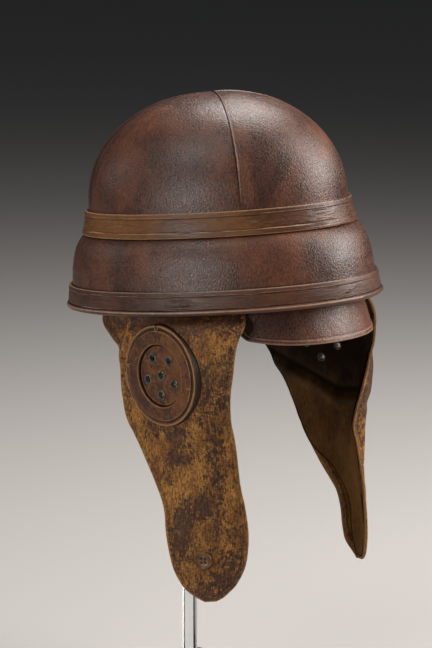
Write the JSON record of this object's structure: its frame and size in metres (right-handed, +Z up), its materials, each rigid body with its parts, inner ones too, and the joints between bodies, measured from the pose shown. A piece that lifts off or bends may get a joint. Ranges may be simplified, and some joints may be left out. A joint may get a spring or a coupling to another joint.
{
  "type": "leather-covered cork flying helmet on a plain acrylic stand",
  "caption": "Round-crowned leather-covered cork helmet with a flared skirt, short steep peak and long ear flaps with vented ear discs, held on a plain clear post and base.",
  "frame": {"origin": "on the underside of the stand's base, straight below the middle of the helmet's rim", "axes": "+Z up, -Y towards the front of the helmet, -X towards the wearer's right"},
  "size_m": [0.234, 0.2791, 0.5357],
  "materials": {
    "shell_leather": "dark reddish-brown, worn semi-gloss",
    "band_leather": "orange-brown, creased, semi-gloss",
    "flap_leather": "ochre-brown, heavily rubbed, with darker patches",
    "lining": "smooth dark brown",
    "cork": "bare moulded cork, matt",
    "eyelet_metal": "tarnished grey-green",
    "button": "ochre-brown, dull",
    "acrylic": "clear, polished"
  },
  "bodies": {
    "root": {"cork_dome": "cork", "crown_gore_front": "shell_leather", "crown_gore_right": "shell_leather", "crown_gore_back": "shell_leather", "crown_gore_left": "shell_leather", "skirt": "shell_leather", "hat_band": "band_leather", "rim_binding": "shell_leather", "rim_roll": "shell_leather", "peak": "shell_leather", "ear_flap_right": "flap_leather", "flap_lining_right": "lining", "ear_ring_right": "shell_leather", "ear_plate_right": "shell_leather", "ear_flap_left": "flap_leather", "flap_lining_left": "lining", "ear_ring_left": "shell_leather", "ear_plate_left": "shell_leather", "flap_button": "button", "stand_base": "acrylic", "stand_post": "acrylic", "stand_pad": "acrylic", "eyelet_right_1": "eyelet_metal", "eyelet_right_2": "eyelet_metal", "eyelet_right_3": "eyelet_metal", "eyelet_right_4": "eyelet_metal", "eyelet_right_5": "eyelet_metal", "eyelet_right_6": "eyelet_metal", "eyelet_left_1": "eyelet_metal", "eyelet_left_2": "eyelet_metal", "eyelet_left_3": "eyelet_metal", "eyelet_left_4": "eyelet_metal", "eyelet_left_5": "eyelet_metal", "eyelet_left_6": "eyelet_metal"}
  },
  "joints": []
}
